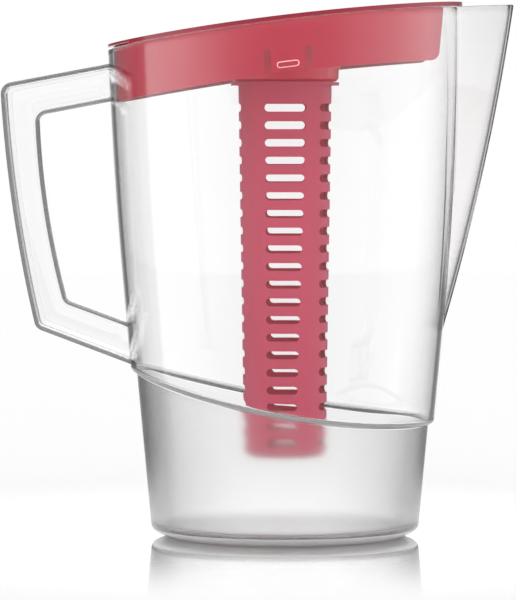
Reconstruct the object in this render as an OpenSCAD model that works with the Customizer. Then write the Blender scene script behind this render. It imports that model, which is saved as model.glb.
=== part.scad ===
// Fruit infuser pitcher: a clear jug with a moulded handle and spout, a skirted lid that follows the
// sloping rim, and a slotted infuser tube that hangs from the lid.
// +Z is up, the spout points along +X, and the origin is on the floor under the middle of the outer box.

/* [Jug wall] */
// Radius of the lower wall, taken down to the floor
base_r = 56.5; // [50:0.1:62]
// Radius of the upper wall at the height of the rim's higher end
rim_r = 75.8; // [71:0.1:80]
// Radius that the wall's straight taper would reach at that height
flare_r = 80; // [77:0.1:85]
// Height where the wall starts to curve upright
bend_z = 100; // [80:1:130]
// Thickness of the wall
wall_t = 1.9; // [1.5:0.1:2.5]

/* [Rim] */
// Height of the rim at the handle
rim_handle_z = 206.4; // [190:0.1:215]
// Height of the rim at the spout's tip
rim_spout_z = 225.7; // [190:0.1:240]
// Radius of the arc that the rim follows from handle to spout
rim_arc_r = 1386; // [900:1:2000]

/* [Ledge] */
// Width of the step between the upper and the lower wall
ledge_w = 2.5; // [1.5:0.05:4]
// Height of the step at the handle
ledge_handle_z = 70.5; // [60:0.1:78]
// Height of the step at the spout
ledge_spout_z = 47.9; // [40:0.1:58]
// Radius of the arc that the step follows
ledge_arc_r = 392.6; // [300:0.1:600]

/* [Foot] */
// Radius of the corner between the wall and the slope under it
foot_corner_r = 3.5; // [2:0.1:6]
// Angle of the slope under the body, which runs down to the ring that the jug stands on
foot_slope_a = 27; // [15:1:40]
// How far that ring is inside the wall
foot_ring_in = 6.5; // [5:0.1:9]
// Width of the ring
foot_ring_w = 3; // [2:0.1:6]
// Height of the hollow under the floor
foot_hollow_h = 1.2; // [0.6:0.1:2]
// Thickness of the floor
floor_t = 2.4; // [1.8:0.1:4]
// Radius of the corner inside, between the floor and the wall
floor_corner_r = 3.5; // [2:0.1:6]

/* [Spout] */
// Distance from the jug's axis to the spout's tip
spout_reach = 97; // [90:0.1:104]
// Height where the spout grows out of the wall
spout_root_z = 88; // [80:0.1:110]
// How far the spout's nose bows out of a straight line
spout_bow = 2.5; // [0:0.1:5]
// Radius of the spout's nose
spout_nose_r = 6.5; // [4:0.1:8]
// Angle between each side of the spout and its middle plane
spout_side_a = 40; // [35:1:45]

/* [Handle] */
// Distance from the jug's axis to the handle's upper outer corner
grip_top_reach = 120.2; // [112:0.1:126]
// Distance from the jug's axis to its lower outer corner
grip_low_reach = 105.4; // [100:0.1:112]
// How far the grip bows out of a straight line
grip_bow = 2.3; // [0:0.1:4]
// Drop from the rim to the top of the handle, at the wall
handle_top_drop = 6; // [4:0.1:12]
// Fall of the handle's top from the wall to its corner
handle_top_fall = 8.5; // [4:0.1:14]
// Height of the handle's lowest point above the ledge, at the wall
handle_low_up = 3.4; // [3:0.1:12]
// Rise of the handle's underside from the wall to its corner
handle_low_rise = 15; // [8:0.1:20]
// Depth of the upper arm at the wall
arm_top_depth = 15.9; // [13:0.1:20]
// Depth of the upper arm at the corner
arm_top_end_depth = 13.1; // [10:0.1:16]
// Depth of the lower arm at the wall
arm_low_depth = 17.6; // [13:0.1:20]
// Depth of the lower arm at the corner
arm_low_end_depth = 11.8; // [10:0.1:16]
// Depth of the grip at its top
grip_top_depth = 16.2; // [13:0.1:20]
// Depth of the grip at its foot
grip_low_depth = 13; // [11:0.1:18]
// Width of the handle's rims
handle_w = 25; // [20:0.5:32]
// Thickness of the outer rim
handle_rim_t = 1.6; // [1.2:0.1:2.4]
// Thickness of the rim round the finger hole
hole_rim_t = 1.5; // [1.2:0.1:2.4]
// Thickness of the web between the rims
web_t = 2; // [1.2:0.1:3]
// Radius of the handle's outer corners
handle_corner_r = 4.8; // [2.5:0.1:6]
// Radius of the finger hole's corners
hole_corner_r = 3.4; // [1.5:0.1:5]

/* [Lid] */
// Thickness of the lid's plate
plate_t = 1.8; // [1.5:0.1:2.5]
// Gap between the plate and the rim
lid_gap = 0.3; // [0.2:0.05:0.6]
// How far the plate's edge stays inside the jug's outer radius
lid_inset = 0.6; // [0.3:0.1:2]
// Thickness of the skirt
skirt_t = 1.5; // [1.2:0.1:2.2]
// Gap between the skirt and the jug's wall
skirt_gap = 0.6; // [0.5:0.05:1]
// Depth of the skirt below the rim at the handle
skirt_handle_h = 23.1; // [18:0.1:30]
// Depth of the skirt below the rim beside the spout
skirt_spout_h = 21.9; // [18:0.1:30]
// Radius of the arc that the skirt's lower edge follows
skirt_arc_r = 862; // [600:1:1200]
// Angle from the middle plane to each end of the skirt, beside the spout
skirt_end_a = 27.9; // [20:0.1:35]
// Lean of the skirt's ends
skirt_lean_a = 5.5; // [0:0.5:8]
// Radius of the skirt's lower corners
skirt_corner_r = 3.9; // [2:0.1:8]
// Thickness of the lip over the finger gap
lip_t = 1; // [0.8:0.1:1.3]
// Angle from the middle plane to each end of the finger gap
lip_a = 30; // [15:1:40]

/* [Snap tongues] */
// Width of a tongue in the skirt
tongue_w = 13.8; // [10:0.1:18]
// Distance of the tongues from the jug's axis, towards the spout
tongue_x = 0.8; // [0:0.1:3]
// Width of the slits beside a tongue
slit_w = 3; // [2:0.1:4]
// Height of the slits
slit_h = 10.5; // [8:0.1:14]
// How much shorter a tongue is than the skirt
tongue_short = 0.6; // [0.3:0.1:1.5]
// Length of the snap bump
bump_l = 8.6; // [6:0.1:10]
// Height of the snap bump
bump_h = 2; // [1.5:0.1:3]
// How far the bump stands out of the tongue
bump_out = 0.3; // [0.2:0.05:0.4]
// Height of the bump above the skirt's lower edge
bump_up = 3.4; // [2.5:0.1:6]

/* [Lid socket] */
// Radius of the socket's bore
socket_bore_r = 21.1; // [20:0.1:22]
// Thickness of the socket's wall at its mouth
socket_mouth_t = 1.6; // [1.2:0.1:2]
// Thickness of the socket's wall at the plate
socket_root_t = 3.3; // [2.4:0.1:4]
// Height of the socket under the plate
socket_h = 24.7; // [20:0.1:30]
// Size of the bevel at the socket's mouth
socket_bevel = 1; // [0.4:0.1:1.2]

/* [Infuser] */
// Radius of the tube under its flange
tube_top_r = 19.8; // [19:0.1:20.6]
// Radius of the tube at its closed end
tube_low_r = 17.4; // [16:0.1:19]
// Thickness of the tube's wall
tube_t = 1.5; // [1.2:0.1:2]
// Space left between the tube and the jug's floor
tube_clear = 30.4; // [28:0.1:60]
// Radius of the corner at the closed end
tube_corner_r = 3.5; // [2:0.1:5]
// Radius of the flange that butts against the socket
flange_r = 22.95; // [22.2:0.05:24]
// Thickness of the flange
flange_t = 1.4; // [1:0.1:2]
// Gap between the flange and the socket
flange_gap = 0.3; // [0.2:0.05:0.5]
// Height of the neck that plugs into the socket
neck_h = 10; // [8:0.1:14]
// Gap between the neck and the socket's bore
neck_gap = 0.3; // [0.2:0.05:0.5]
// Height of the tapered lead-in at the top of the neck
neck_lead = 1.2; // [0.6:0.1:2]

/* [Infuser slots] */
// Distance wanted between the rows of slots, which then spread evenly over the tube
slot_pitch = 7.4; // [6:0.1:10]
// Height of a slot
slot_h = 3.35; // [2.2:0.05:4]
// Distance from the flange to the first row
slot_first_drop = 9.4; // [6:0.1:14]
// Distance from the last row to the closed end
slot_last_up = 6.5; // [5.5:0.1:12]
// Left end of the front and back slots, as an angle from their middle
face_left_a = -26.2; // [-30:0.1:-20]
// Right end of the front and back slots in the first row
face_right_a = 27.5; // [20:0.1:30]
// Right end of the front and back slots in the last row
face_right_low_a = 15; // [12:0.1:28]
// Left end of the side slots in the first row
side_left_a = 47.8; // [42:0.1:52]
// Left end of the side slots in the last row
side_left_low_a = 53.6; // [44:0.1:58]
// Right end of the side slots
side_right_a = 108.4; // [100:0.1:112]

/* [Hidden] */
$fn = 96;

// Segments of the long shallow arcs, which a coarse circle would flatten
arc_fn = 360;
// Steps along the wall, the skirt, a rounded corner, the spout's nose line, its nose and the grip
wall_steps = 12;
skirt_steps = 4;
corner_steps = 6;
spout_rows = 12;
nose_steps = 8;
grip_steps = 8;
// Overrun of cuts, and of pieces that another one trims
over = 4;

clear_colour = [0.86, 0.88, 0.89, 0.45];
lid_colour = [0.76, 0.16, 0.27];
infuser_colour = [0.80, 0.28, 0.36];

function mix(a, b, t) = a + (b - a) * t;

// Outer radius of the upper wall at height z, and of the lower wall, which is one ledge smaller
rim_high_z = max(rim_handle_z, rim_spout_z);
function upper_r(z) =
    mix(base_r + ledge_w, flare_r, z / rim_high_z)
    - (flare_r - rim_r) * pow(max(0, z - bend_z) / (rim_high_z - bend_z), 2);
function lower_r(z) = upper_r(z) - ledge_w;

// Centre of the arc of radius r from p to q: side is 1 where the centre is above the arc, and -1 below it
function arc_centre(p, q, r, side) =
    let (d = q - p, half = norm(d) / 2)
    (p + q) / 2 + side * [-d[1], d[0]] / norm(d) * sqrt(r * r - half * half);

// Height of that arc at x
function arc_z(centre, r, side, x) = centre[1] - side * sqrt(r * r - pow(x - centre[0], 2));

// Points of a rounded corner about centre c, from angle a to angle b
function corner(c, r, a, b) =
    [for (i = [0:corner_steps]) let (t = mix(a, b, i / corner_steps)) c + r * [cos(t), sin(t)]];

// The rim and the ledge, as arcs in the middle plane
rim_c = arc_centre([-rim_r, rim_handle_z], [spout_reach, rim_spout_z], rim_arc_r, -1);
ledge_c = arc_centre(
    [-upper_r(ledge_handle_z), ledge_handle_z],
    [upper_r(ledge_spout_z), ledge_spout_z], ledge_arc_r, 1);
function rim_z(x) = arc_z(rim_c, rim_arc_r, -1, x);

// The jug's floor, and the levels that clear everything above the rim and the rim's lower end
floor_z = foot_hollow_h + floor_t;
top_z = rim_z(min(max(rim_c[0], -rim_r), spout_reach)) + lid_gap + plate_t + over;
low_rim_z = min(rim_handle_z, rim_spout_z) - over;

// The handle's outline at the wall, and its corners: x is the distance from the axis towards the handle
root_top_z = rim_handle_z - handle_top_drop;
root_low_z = ledge_handle_z + handle_low_up;
hole_top_z = root_top_z - arm_top_depth;
hole_low_z = root_low_z + arm_low_depth;
grip_top = [grip_top_reach, root_top_z - handle_top_fall];
grip_low = [grip_low_reach, root_low_z + handle_low_rise];
hole_top = grip_top - [grip_top_depth, arm_top_end_depth];
hole_low = grip_low + [-grip_low_depth, arm_low_end_depth];

// A point of the line from the wall at height z to a corner, carried on through the wall
function root(z, end) =
    let (wall = [upper_r(z), z])
    wall - (end - wall) / norm(end - wall) * (wall_t + handle_rim_t + over);

// Points along a bowed side from p to q
function bowed(p, q, bow) =
    let (d = q - p, out = [-d[1], d[0]] / norm(d))
    [for (i = [0:grip_steps]) let (t = i / grip_steps) mix(p, q, t) + out * bow * 4 * t * (1 - t)];
grip_side = bowed(grip_low, grip_top, -grip_bow);
hole_side = bowed(hole_low, hole_top, -grip_bow);

// How far the handle reaches: the corner's rounding starts on the sides u and v
grip_u = (grip_side[grip_steps - 1] - grip_top) / norm(grip_side[grip_steps - 1] - grip_top);
grip_v = (root(root_top_z, grip_top) - grip_top) / norm(root(root_top_z, grip_top) - grip_top);
grip_half_a = acos(grip_u * grip_v) / 2;
grip_round_c = grip_top + (grip_u + grip_v) / norm(grip_u + grip_v) * handle_corner_r / sin(grip_half_a);
handle_reach = grip_round_c[0] + handle_corner_r;

// Place of the jug's axis, which puts the origin under the middle of the outer box
axis_x = (handle_reach - spout_reach) / 2;

// The lid's skirt stays inside the wall, and its lower edge is an arc too
function skirt_r(z) = upper_r(z) - wall_t - skirt_gap;
skirt_handle_r = skirt_r(rim_handle_z);
skirt_end_x = skirt_r(rim_spout_z) * cos(skirt_end_a);
skirt_c = arc_centre(
    [-skirt_handle_r, rim_z(-skirt_handle_r) - skirt_handle_h],
    [skirt_end_x, rim_z(skirt_end_x) - skirt_spout_h], skirt_arc_r, -1);
function skirt_z(x) = arc_z(skirt_c, skirt_arc_r, -1, x);
skirt_low_z = min(skirt_z(-skirt_handle_r), skirt_z(skirt_end_x)) - over;
function skirt_end(z) = skirt_end_x - (rim_z(skirt_end_x) - z) * tan(skirt_lean_a);

// Centre of the rounded lower corner, which touches the skirt's end and its lower edge
skirt_round_x = skirt_end(skirt_z(skirt_end_x) + skirt_corner_r) - skirt_corner_r;
skirt_round_c = [skirt_round_x, arc_z(skirt_c, skirt_arc_r + skirt_corner_r, -1, skirt_round_x)];

// The socket hangs under the plate, and the infuser's flange butts against it
lid_r = rim_r - lid_inset;
plate_z = rim_z(0) + lid_gap;
socket_z = plate_z - socket_h;
flange_z = socket_z - flange_gap - flange_t;
tube_z = floor_z + tube_clear;
neck_r = socket_bore_r - neck_gap;
function tube_r(z) = mix(tube_low_r, tube_top_r, (z - tube_z) / (flange_z - tube_z));
slot_span = flange_z - slot_first_drop - slot_last_up - tube_z;
slot_rows = round(slot_span / slot_pitch) + 1;

// An arc of the middle plane carried across the whole jug: a disc of radius r on its side
module disc(centre, r)
    rotate([90, 0, 0])
        translate(centre)
            cylinder(r = r, h = 2 * (rim_r + over), center = true, $fn = arc_fn);

// A shape drawn in the middle plane and given a width across it
module across(w)
    rotate([90, 0, 0])
        linear_extrude(height = w, center = true)
            children();

// Outline of the wall, moved in by inset, from one height to another
function wall_line(inset, from, to) =
    [for (i = [0:wall_steps]) let (z = mix(from, to, i / wall_steps)) [lower_r(z) - inset, z]];

// The lower body, with the slope and the rounded corner of its foot, or the hollow in it
module lower_body() {
    ring_r = base_r - foot_ring_in;
    corner_x = base_r - foot_corner_r;
    corner_z = (foot_corner_r + (corner_x - ring_r) * sin(foot_slope_a)) / cos(foot_slope_a);
    rotate_extrude()
        polygon(concat(
            [[0, foot_hollow_h], [ring_r - foot_ring_w - foot_hollow_h, foot_hollow_h]],
            [[ring_r - foot_ring_w, 0], [ring_r, 0]],
            corner([lower_r(corner_z) - foot_corner_r, corner_z], foot_corner_r, foot_slope_a - 90, 0),
            wall_line(0, corner_z + over, ledge_handle_z + over),
            [[0, ledge_handle_z + over]]));
}

module lower_hollow() {
    corner_z = floor_z + floor_corner_r;
    rotate_extrude()
        polygon(concat(
            [[0, floor_z]],
            corner([lower_r(corner_z) - wall_t - floor_corner_r, corner_z], floor_corner_r, -90, 0),
            wall_line(wall_t, corner_z + over, top_z),
            [[0, top_z]]));
}

// The upper body or, moved in by the wall, its hollow: it ends at the ledge's arc
module upper_body(inset)
    intersection() {
        rotate_extrude()
            polygon(concat([[0, 0]], wall_line(inset - ledge_w, 0, top_z), [[0, top_z]]));
        disc(ledge_c, ledge_arc_r - inset);
    }

// The spout is a wedge with a round nose, which follows the nose line up the jug
function spout_x(z) =
    let (t = (z - spout_root_z) / (rim_spout_z - spout_root_z))
    mix(upper_r(spout_root_z), spout_reach, t) + 4 * spout_bow * t * (1 - t);

function spout_row(z, inset) =
    let (
        c = spout_x(z) - spout_nose_r,
        r = spout_nose_r - inset,
        a = 90 - spout_side_a,
        back = c + r * cos(a) - rim_r / 2,
        half = r * sin(a) + rim_r / 2 * tan(spout_side_a))
    concat(
        [[back, -half, z]],
        [for (i = [0:nose_steps]) let (b = mix(-a, a, i / nose_steps)) [c + r * cos(b), r * sin(b), z]],
        [[back, half, z]]);

module spout_wedge(inset) {
    from = spout_root_z - over;
    rows = [for (i = [0:spout_rows]) spout_row(mix(from, top_z, i / spout_rows), inset)];
    n = len(rows[0]);
    polyhedron(
        points = [for (row = rows) each row],
        faces = concat(
            [[for (j = [0:n - 1]) j]],
            [[for (j = [n - 1:-1:0]) spout_rows * n + j]],
            [for (i = [0:spout_rows - 1], j = [0:n - 1])
                [i * n + j, (i + 1) * n + j, (i + 1) * n + (j + 1) % n, i * n + (j + 1) % n]]));
}

// The handle is an I-beam: a thin web between an outer rim and the rim of the finger hole
module handle_outline()
    mirror([1, 0])
        offset(r = handle_corner_r)
            offset(delta = -handle_corner_r)
                polygon(concat([root(root_low_z, grip_low)], grip_side, [root(root_top_z, grip_top)]));

module hole_outline()
    mirror([1, 0])
        offset(r = hole_corner_r)
            offset(delta = -hole_corner_r)
                polygon(concat([root(hole_low_z, hole_low)], hole_side, [root(hole_top_z, hole_top)]));

module handle() {
    across(web_t)
        difference() {
            handle_outline();
            hole_outline();
        }
    across(handle_w) {
        difference() {
            handle_outline();
            offset(delta = -handle_rim_t) handle_outline();
        }
        difference() {
            offset(delta = hole_rim_t) hole_outline();
            hole_outline();
        }
    }
}

module jug()
    color(clear_colour)
        translate([axis_x, 0, 0])
            difference() {
                intersection() {
                    union() {
                        lower_body();
                        upper_body(0);
                        spout_wedge(0);
                        handle();
                    }
                    disc(rim_c, rim_arc_r);
                }
                lower_hollow();
                upper_body(wall_t);
                spout_wedge(wall_t);
            }

// The plate is a slice of the disc between two arcs, with a thin lip over the finger gap at the handle
module plate()
    difference() {
        translate([0, 0, low_rim_z])
            cylinder(r = lid_r, h = top_z - low_rim_z);
        disc(rim_c, rim_arc_r + lid_gap);
        intersection() {
            rotate([0, 0, 180 - lip_a])
                rotate_extrude(angle = 2 * lip_a)
                    translate([skirt_handle_r, low_rim_z])
                        square([rim_r, top_z]);
            disc(rim_c, rim_arc_r + lid_gap + plate_t - lip_t);
        }
    }

// A bar with round ends in the middle plane, centred on the origin
module stadium(l, h) {
    square([l - h, h], center = true);
    for (side = [-1, 1])
        translate([side * (l - h) / 2, 0])
            circle(d = h);
}

// One slit beside a tongue, through the front and the back of the skirt
module slit(x)
    across(2 * rim_r)
        translate([x, 0]) {
            translate([0, skirt_z(x) + slit_h - slit_w / 2])
                circle(d = slit_w);
            translate([-slit_w / 2, skirt_z(x) - over])
                square([slit_w, slit_h + over - slit_w / 2]);
        }

module skirt() {
    outside = [
        for (i = [0:skirt_steps])
            let (z = mix(skirt_low_z, top_z, i / skirt_steps))
            [skirt_r(z), z]];
    rotate_extrude()
        polygon(concat(outside, [for (i = [skirt_steps:-1:0]) outside[i] - [skirt_t, 0]]));
}

// Cuts in the skirt: its lower edge, the opening at the spout, the slits and the tongues' tips
module skirt_cuts() {
    disc(skirt_c, skirt_arc_r);
    across(2 * rim_r) {
        polygon([
            [skirt_end(skirt_low_z), skirt_low_z], [skirt_end(top_z), top_z],
            [rim_r + over, top_z], [rim_r + over, skirt_low_z]]);
        difference() {
            translate(skirt_round_c - [0, skirt_corner_r + over])
                square(skirt_corner_r + over);
            translate(skirt_round_c)
                circle(r = skirt_corner_r);
        }
    }
    for (side = [-1, 1])
        slit(tongue_x + side * (tongue_w + slit_w) / 2);
    intersection() {
        disc(skirt_c, skirt_arc_r + tongue_short);
        translate([tongue_x, 0, skirt_z(tongue_x)])
            cube([tongue_w + slit_w, 2 * rim_r, 2 * over], center = true);
    }
}

// The bumps stand out of the tongues, along the skirt's lower edge
module bumps() {
    slope = asin((skirt_c[0] - tongue_x) / skirt_arc_r);
    z = skirt_z(tongue_x) + bump_up;
    intersection() {
        difference() {
            across(2 * rim_r)
                translate([tongue_x, z])
                    rotate(slope)
                        stadium(bump_l, bump_h);
            cylinder(r = skirt_r(z) - skirt_t / 2, h = top_z);
        }
        cylinder(r = skirt_r(z) + bump_out, h = top_z);
    }
}

module socket() {
    mouth_r = socket_bore_r + socket_mouth_t;
    rotate_extrude()
        polygon([
            [socket_bore_r, socket_z],
            [mouth_r - socket_bevel, socket_z],
            [mouth_r, socket_z + socket_bevel],
            [socket_bore_r + socket_root_t, plate_z],
            [socket_bore_r + socket_root_t, top_z],
            [socket_bore_r, top_z]]);
}

module lid()
    color(lid_colour)
        translate([axis_x, 0, 0])
            intersection() {
                union() {
                    plate();
                    difference() {
                        skirt();
                        skirt_cuts();
                    }
                    socket();
                    bumps();
                }
                disc(rim_c, rim_arc_r + lid_gap + plate_t);
            }

// The infuser's tube, flange and neck as one turned outline
module infuser_body() {
    top = flange_z + flange_t + neck_h;
    bore_r = tube_top_r - tube_t;
    outer_corner = tube_z + tube_corner_r;
    inner_corner_r = tube_corner_r - tube_t;
    rotate_extrude()
        polygon(concat(
            [[0, tube_z]],
            corner([tube_r(outer_corner) - tube_corner_r, outer_corner], tube_corner_r, -90, 0),
            [[tube_top_r, flange_z], [flange_r, flange_z], [flange_r, flange_z + flange_t],
             [neck_r, flange_z + flange_t], [neck_r, top - neck_lead], [neck_r - neck_gap, top],
             [bore_r, top], [bore_r, flange_z]],
            corner([tube_r(outer_corner) - tube_corner_r, outer_corner], inner_corner_r, 0, -90),
            [[0, tube_z + tube_t]]));
}

// One slot between two angles, which face the front at 0 and the spout at 90, cut straight out from the bore
module slot(z, left, right) {
    half_a = (right - left) / 2;
    start = tube_r(z) * cos(half_a) - tube_t - over;
    rotate([0, 0, (left + right) / 2])
        translate([0, -start, z])
            rotate([90, 0, 0])
                linear_extrude(height = tube_r(z))
                    stadium(2 * tube_r(z) * sin(half_a), slot_h);
}

module infuser()
    color(infuser_colour)
        translate([axis_x, 0, 0])
            difference() {
                infuser_body();
                for (row = [0:slot_rows - 1], turn = [0, 180])
                    rotate([0, 0, turn]) {
                        t = row / (slot_rows - 1);
                        z = flange_z - slot_first_drop - t * slot_span;
                        slot(z, face_left_a, mix(face_right_a, face_right_low_a, t));
                        slot(z, mix(side_left_a, side_left_low_a, t), side_right_a);
                    }
            }

jug();
lid();
infuser();
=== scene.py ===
import math
import bpy
import bmesh
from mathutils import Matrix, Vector


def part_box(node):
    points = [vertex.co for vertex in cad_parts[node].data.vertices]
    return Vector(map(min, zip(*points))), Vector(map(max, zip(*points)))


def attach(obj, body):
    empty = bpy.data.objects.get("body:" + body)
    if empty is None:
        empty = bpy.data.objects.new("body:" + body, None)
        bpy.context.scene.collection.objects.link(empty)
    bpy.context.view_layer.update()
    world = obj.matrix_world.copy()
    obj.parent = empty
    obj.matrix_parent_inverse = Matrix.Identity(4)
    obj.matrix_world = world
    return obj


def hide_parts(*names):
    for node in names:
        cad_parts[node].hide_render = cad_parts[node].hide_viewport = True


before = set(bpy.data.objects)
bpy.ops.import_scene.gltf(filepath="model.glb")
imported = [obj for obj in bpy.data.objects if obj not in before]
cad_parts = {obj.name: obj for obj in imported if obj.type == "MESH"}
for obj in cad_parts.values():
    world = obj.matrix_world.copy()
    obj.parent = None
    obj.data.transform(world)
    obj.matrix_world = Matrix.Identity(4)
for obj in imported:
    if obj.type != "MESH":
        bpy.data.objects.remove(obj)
scene = bpy.context.scene
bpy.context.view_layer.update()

mm = 0.001
lowCorner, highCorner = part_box("infuser")
axisX = (lowCorner.x + highCorner.x) / 2 / mm  # the tube's axis, which is also the jug's, in mm


# Small helpers

def hexColour(code):
    # sRGB hex value to linear, by the standard's curve
    channels = [int(code[i:i + 2], 16) / 255 for i in (1, 3, 5)]
    return tuple(c / 12.92 if c <= 0.04045 else ((c + 0.055) / 1.055) ** 2.4 for c in channels) + (1.0,)


white = hexColour("#ffffff")


def mix(a, b, t):
    return a + (b - a) * t


def shareOf(value, start, end):
    return min(1.0, max(0.0, (value - start) / (end - start)))


def sind(a):
    return math.sin(math.radians(a))


def cosd(a):
    return math.cos(math.radians(a))


def unit(v):
    length = math.hypot(*v)
    return (v[0] / length, v[1] / length)


def addNode(tree, kind, settings=None, links=None, attributes=None):
    node = tree.nodes.new(kind)
    for key, value in (attributes or {}).items():
        setattr(node, key, value)
    for key, value in (settings or {}).items():
        node.inputs[key].default_value = value
    for key, source in (links or {}).items():
        tree.links.new(source, node.inputs[key])
    return node


def meshObject(name, points, faces, materials):
    # Points are in mm from the jug's axis
    mesh = bpy.data.meshes.new(name)
    mesh.from_pydata([((x + axisX) * mm, y * mm, z * mm) for x, y, z in points], [], faces)
    for material in materials:
        mesh.materials.append(material)
    mesh.validate()
    mesh.update()
    obj = bpy.data.objects.new(name, mesh)
    scene.collection.objects.link(obj)
    return obj


def joinWith(obj, other):
    modifier = obj.modifiers.new("Join", "BOOLEAN")
    modifier.operation = "UNION"
    modifier.object = other
    modifier.solver = "EXACT"
    graph = bpy.context.evaluated_depsgraph_get()
    result = bpy.data.meshes.new_from_object(obj.evaluated_get(graph))
    obj.modifiers.clear()
    old = obj.data
    obj.data = result
    bpy.data.meshes.remove(old)
    otherMesh = other.data
    bpy.data.objects.remove(other)
    bpy.data.meshes.remove(otherMesh)


def smoothByAngle(obj, angle):
    obj.data.shade_smooth()
    obj.data.set_sharp_from_angle(angle=math.radians(angle))


def addFaceValues(obj, name, values):
    obj.data.attributes.new(name, "FLOAT", "FACE").data.foreach_set("value", values)


# Sizes of the jug's body

# In mm, as in the part's source, with finer roundings. The spout points to +X and the handle to -X
jug = dict(baseR=56.5, rimR=75.8, flareR=80.0, bendZ=100.0, wallT=1.9,
           rimHandleZ=206.4, rimSpoutZ=225.7, rimArcR=1386.0, rimOuterR=0.4, rimInnerR=0.3,
           ledgeW=2.5, ledgeHandleZ=70.5, ledgeSpoutZ=47.9, ledgeArcR=392.6,
           ledgeCornerR=2.2, innerCornerR=1.3, innerEdgeR=1.2,
           stepDrop=0.5, stepRows=((0.05, 0.2), (0.2, 0.03)),  # out and down: the step is a soft S
           footCornerR=3.5, footSlopeA=27.0, footRingIn=6.5, footRingW=3.0, footHollowH=1.2,
           ringInside=((0.0, 0.25), (0.3, 0.0)),  # the foot ring's rounded sides: out and up
           ringOutside=((-0.5, 0.0), (-0.1, 0.06), (0.35, 0.3)),
           floorT=2.4, floorCornerR=3.5,
           spoutReach=97.0, spoutRootZ=88.0, spoutBow=2.5, noseR=6.5, spoutSideA=40.0,
           spoutWallShare=1.35)  # the nose's wall against the jug's wall


def upperR(z):
    # The wall's outer radius above the ledge: a cone that bends inwards towards the rim
    top = jug["rimSpoutZ"]
    bend = max(0.0, z - jug["bendZ"]) / (top - jug["bendZ"])
    cone = mix(jug["baseR"] + jug["ledgeW"], jug["flareR"], z / top)
    return cone - (jug["flareR"] - jug["rimR"]) * bend ** 2


def arcCentre(p, q, r, side):
    dx, dz = q[0] - p[0], q[1] - p[1]
    length = math.hypot(dx, dz)
    reach = side * math.sqrt(r * r - length * length / 4) / length
    return ((p[0] + q[0]) / 2 - dz * reach, (p[1] + q[1]) / 2 + dx * reach)


def arcZ(centre, r, side, x):
    return centre[1] - side * math.sqrt(r * r - (x - centre[0]) ** 2)


rimCentre = arcCentre((-jug["rimR"], jug["rimHandleZ"]), (jug["spoutReach"], jug["rimSpoutZ"]),
                      jug["rimArcR"], -1)
ledgeCentre = arcCentre((-upperR(jug["ledgeHandleZ"]), jug["ledgeHandleZ"]),
                        (upperR(jug["ledgeSpoutZ"]), jug["ledgeSpoutZ"]), jug["ledgeArcR"], 1)


def rimZ(x):
    return arcZ(rimCentre, jug["rimArcR"], -1, x)


def ledgeZ(x, inside=0.0):
    return arcZ(ledgeCentre, jug["ledgeArcR"] - inside, 1, x)


def spoutX(z):
    t = (z - jug["spoutRootZ"]) / (jug["rimSpoutZ"] - jug["spoutRootZ"])
    return mix(upperR(jug["spoutRootZ"]), jug["spoutReach"], t) + 4 * jug["spoutBow"] * t * (1 - t)


# The jug's body: closed rows round the axis, each one an outline moved in by an inset

bodyGrid = dict(nose=8, flank=12, crease=4, wall=52,  # points along a row, from the nose to the handle
                upperRows=46, lowerRows=14, footSteps=8, ledgeSteps=7, rimOuterSteps=4, rimInnerSteps=3,
                innerSteps=6, floorSteps=6, floorMiddle=0.5,  # steps round each corner, and the floor's row
                creaseHalf=1.2, leastA=2.6, blend=0.2,  # the crease between wall and spout
                spoutA=60.0, spoutBelow=2.0,  # no spout past this angle, or this far under its root
                heightTries=6)


def noseArc(z, inset):
    # The nose's centre and radius, and the angle at which its round end meets the flat flanks
    centre = spoutX(z) - jug["noseR"]
    r = jug["noseR"] - inset * jug["spoutWallShare"]
    side = jug["spoutSideA"]
    return centre, r, math.degrees(math.atan2(r * cosd(side), centre + r * sind(side)))


def wedgeRadius(z, inset, a):
    centre, r, tangentA = noseArc(z, inset)
    if abs(a) <= tangentA:
        return centre * cosd(a) + math.sqrt(max(0.0, r * r - (centre * sind(a)) ** 2))
    return (centre * sind(jug["spoutSideA"]) + r) / sind(abs(a) + jug["spoutSideA"])


def creaseAngles(z, inset):
    centre, r, tangentA = noseArc(z, inset)
    side = jug["spoutSideA"]
    wall = upperR(z) - inset
    if centre + r <= wall:
        crease = 0.0
    else:
        reach = (centre * sind(side) + r) / wall
        crease = math.degrees(math.asin(min(1.0, reach))) - side
        if crease < tangentA:
            onArc = (centre ** 2 + wall ** 2 - r * r) / (2 * centre * wall)
            crease = math.degrees(math.acos(min(1.0, onArc)))
    crease = max(crease, bodyGrid["leastA"])
    return min(tangentA, crease * 0.5), crease


def columnAngles(z, inset):
    tangentA, crease = creaseAngles(z, inset)
    near = min(math.degrees(bodyGrid["creaseHalf"] / upperR(z)), (crease - tangentA) * 0.5)
    angles = []
    for start, end, part in ((0.0, tangentA, "nose"), (tangentA, crease - near, "flank"),
                             (crease - near, crease + near, "crease"), (crease + near, 180.0, "wall")):
        angles += [mix(start, end, i / bodyGrid[part]) for i in range(bodyGrid[part])]
    angles.append(180.0)
    return angles + [-a for a in angles[-2:0:-1]]


def outlineRadius(z, inset, a):
    wall = upperR(z) - inset
    if abs(a) > bodyGrid["spoutA"] or z < jug["spoutRootZ"] - bodyGrid["spoutBelow"]:
        return wall
    wedge, soft = wedgeRadius(z, inset, a), bodyGrid["blend"]
    return max(wall, wedge) + max(0.0, soft - abs(wall - wedge)) ** 2 / (4 * soft)


def outlineRow(inset, heightAt):
    count = len(columnAngles(jug["bendZ"], inset))
    row = []
    for i in range(count):
        z = heightAt(0.0)
        for _ in range(bodyGrid["heightTries"]):
            a = columnAngles(z, inset)[i]
            r = outlineRadius(z, inset, a)
            z = heightAt(r * cosd(a))
        row.append((r * cosd(a), r * sind(a), z))
    return row


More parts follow.
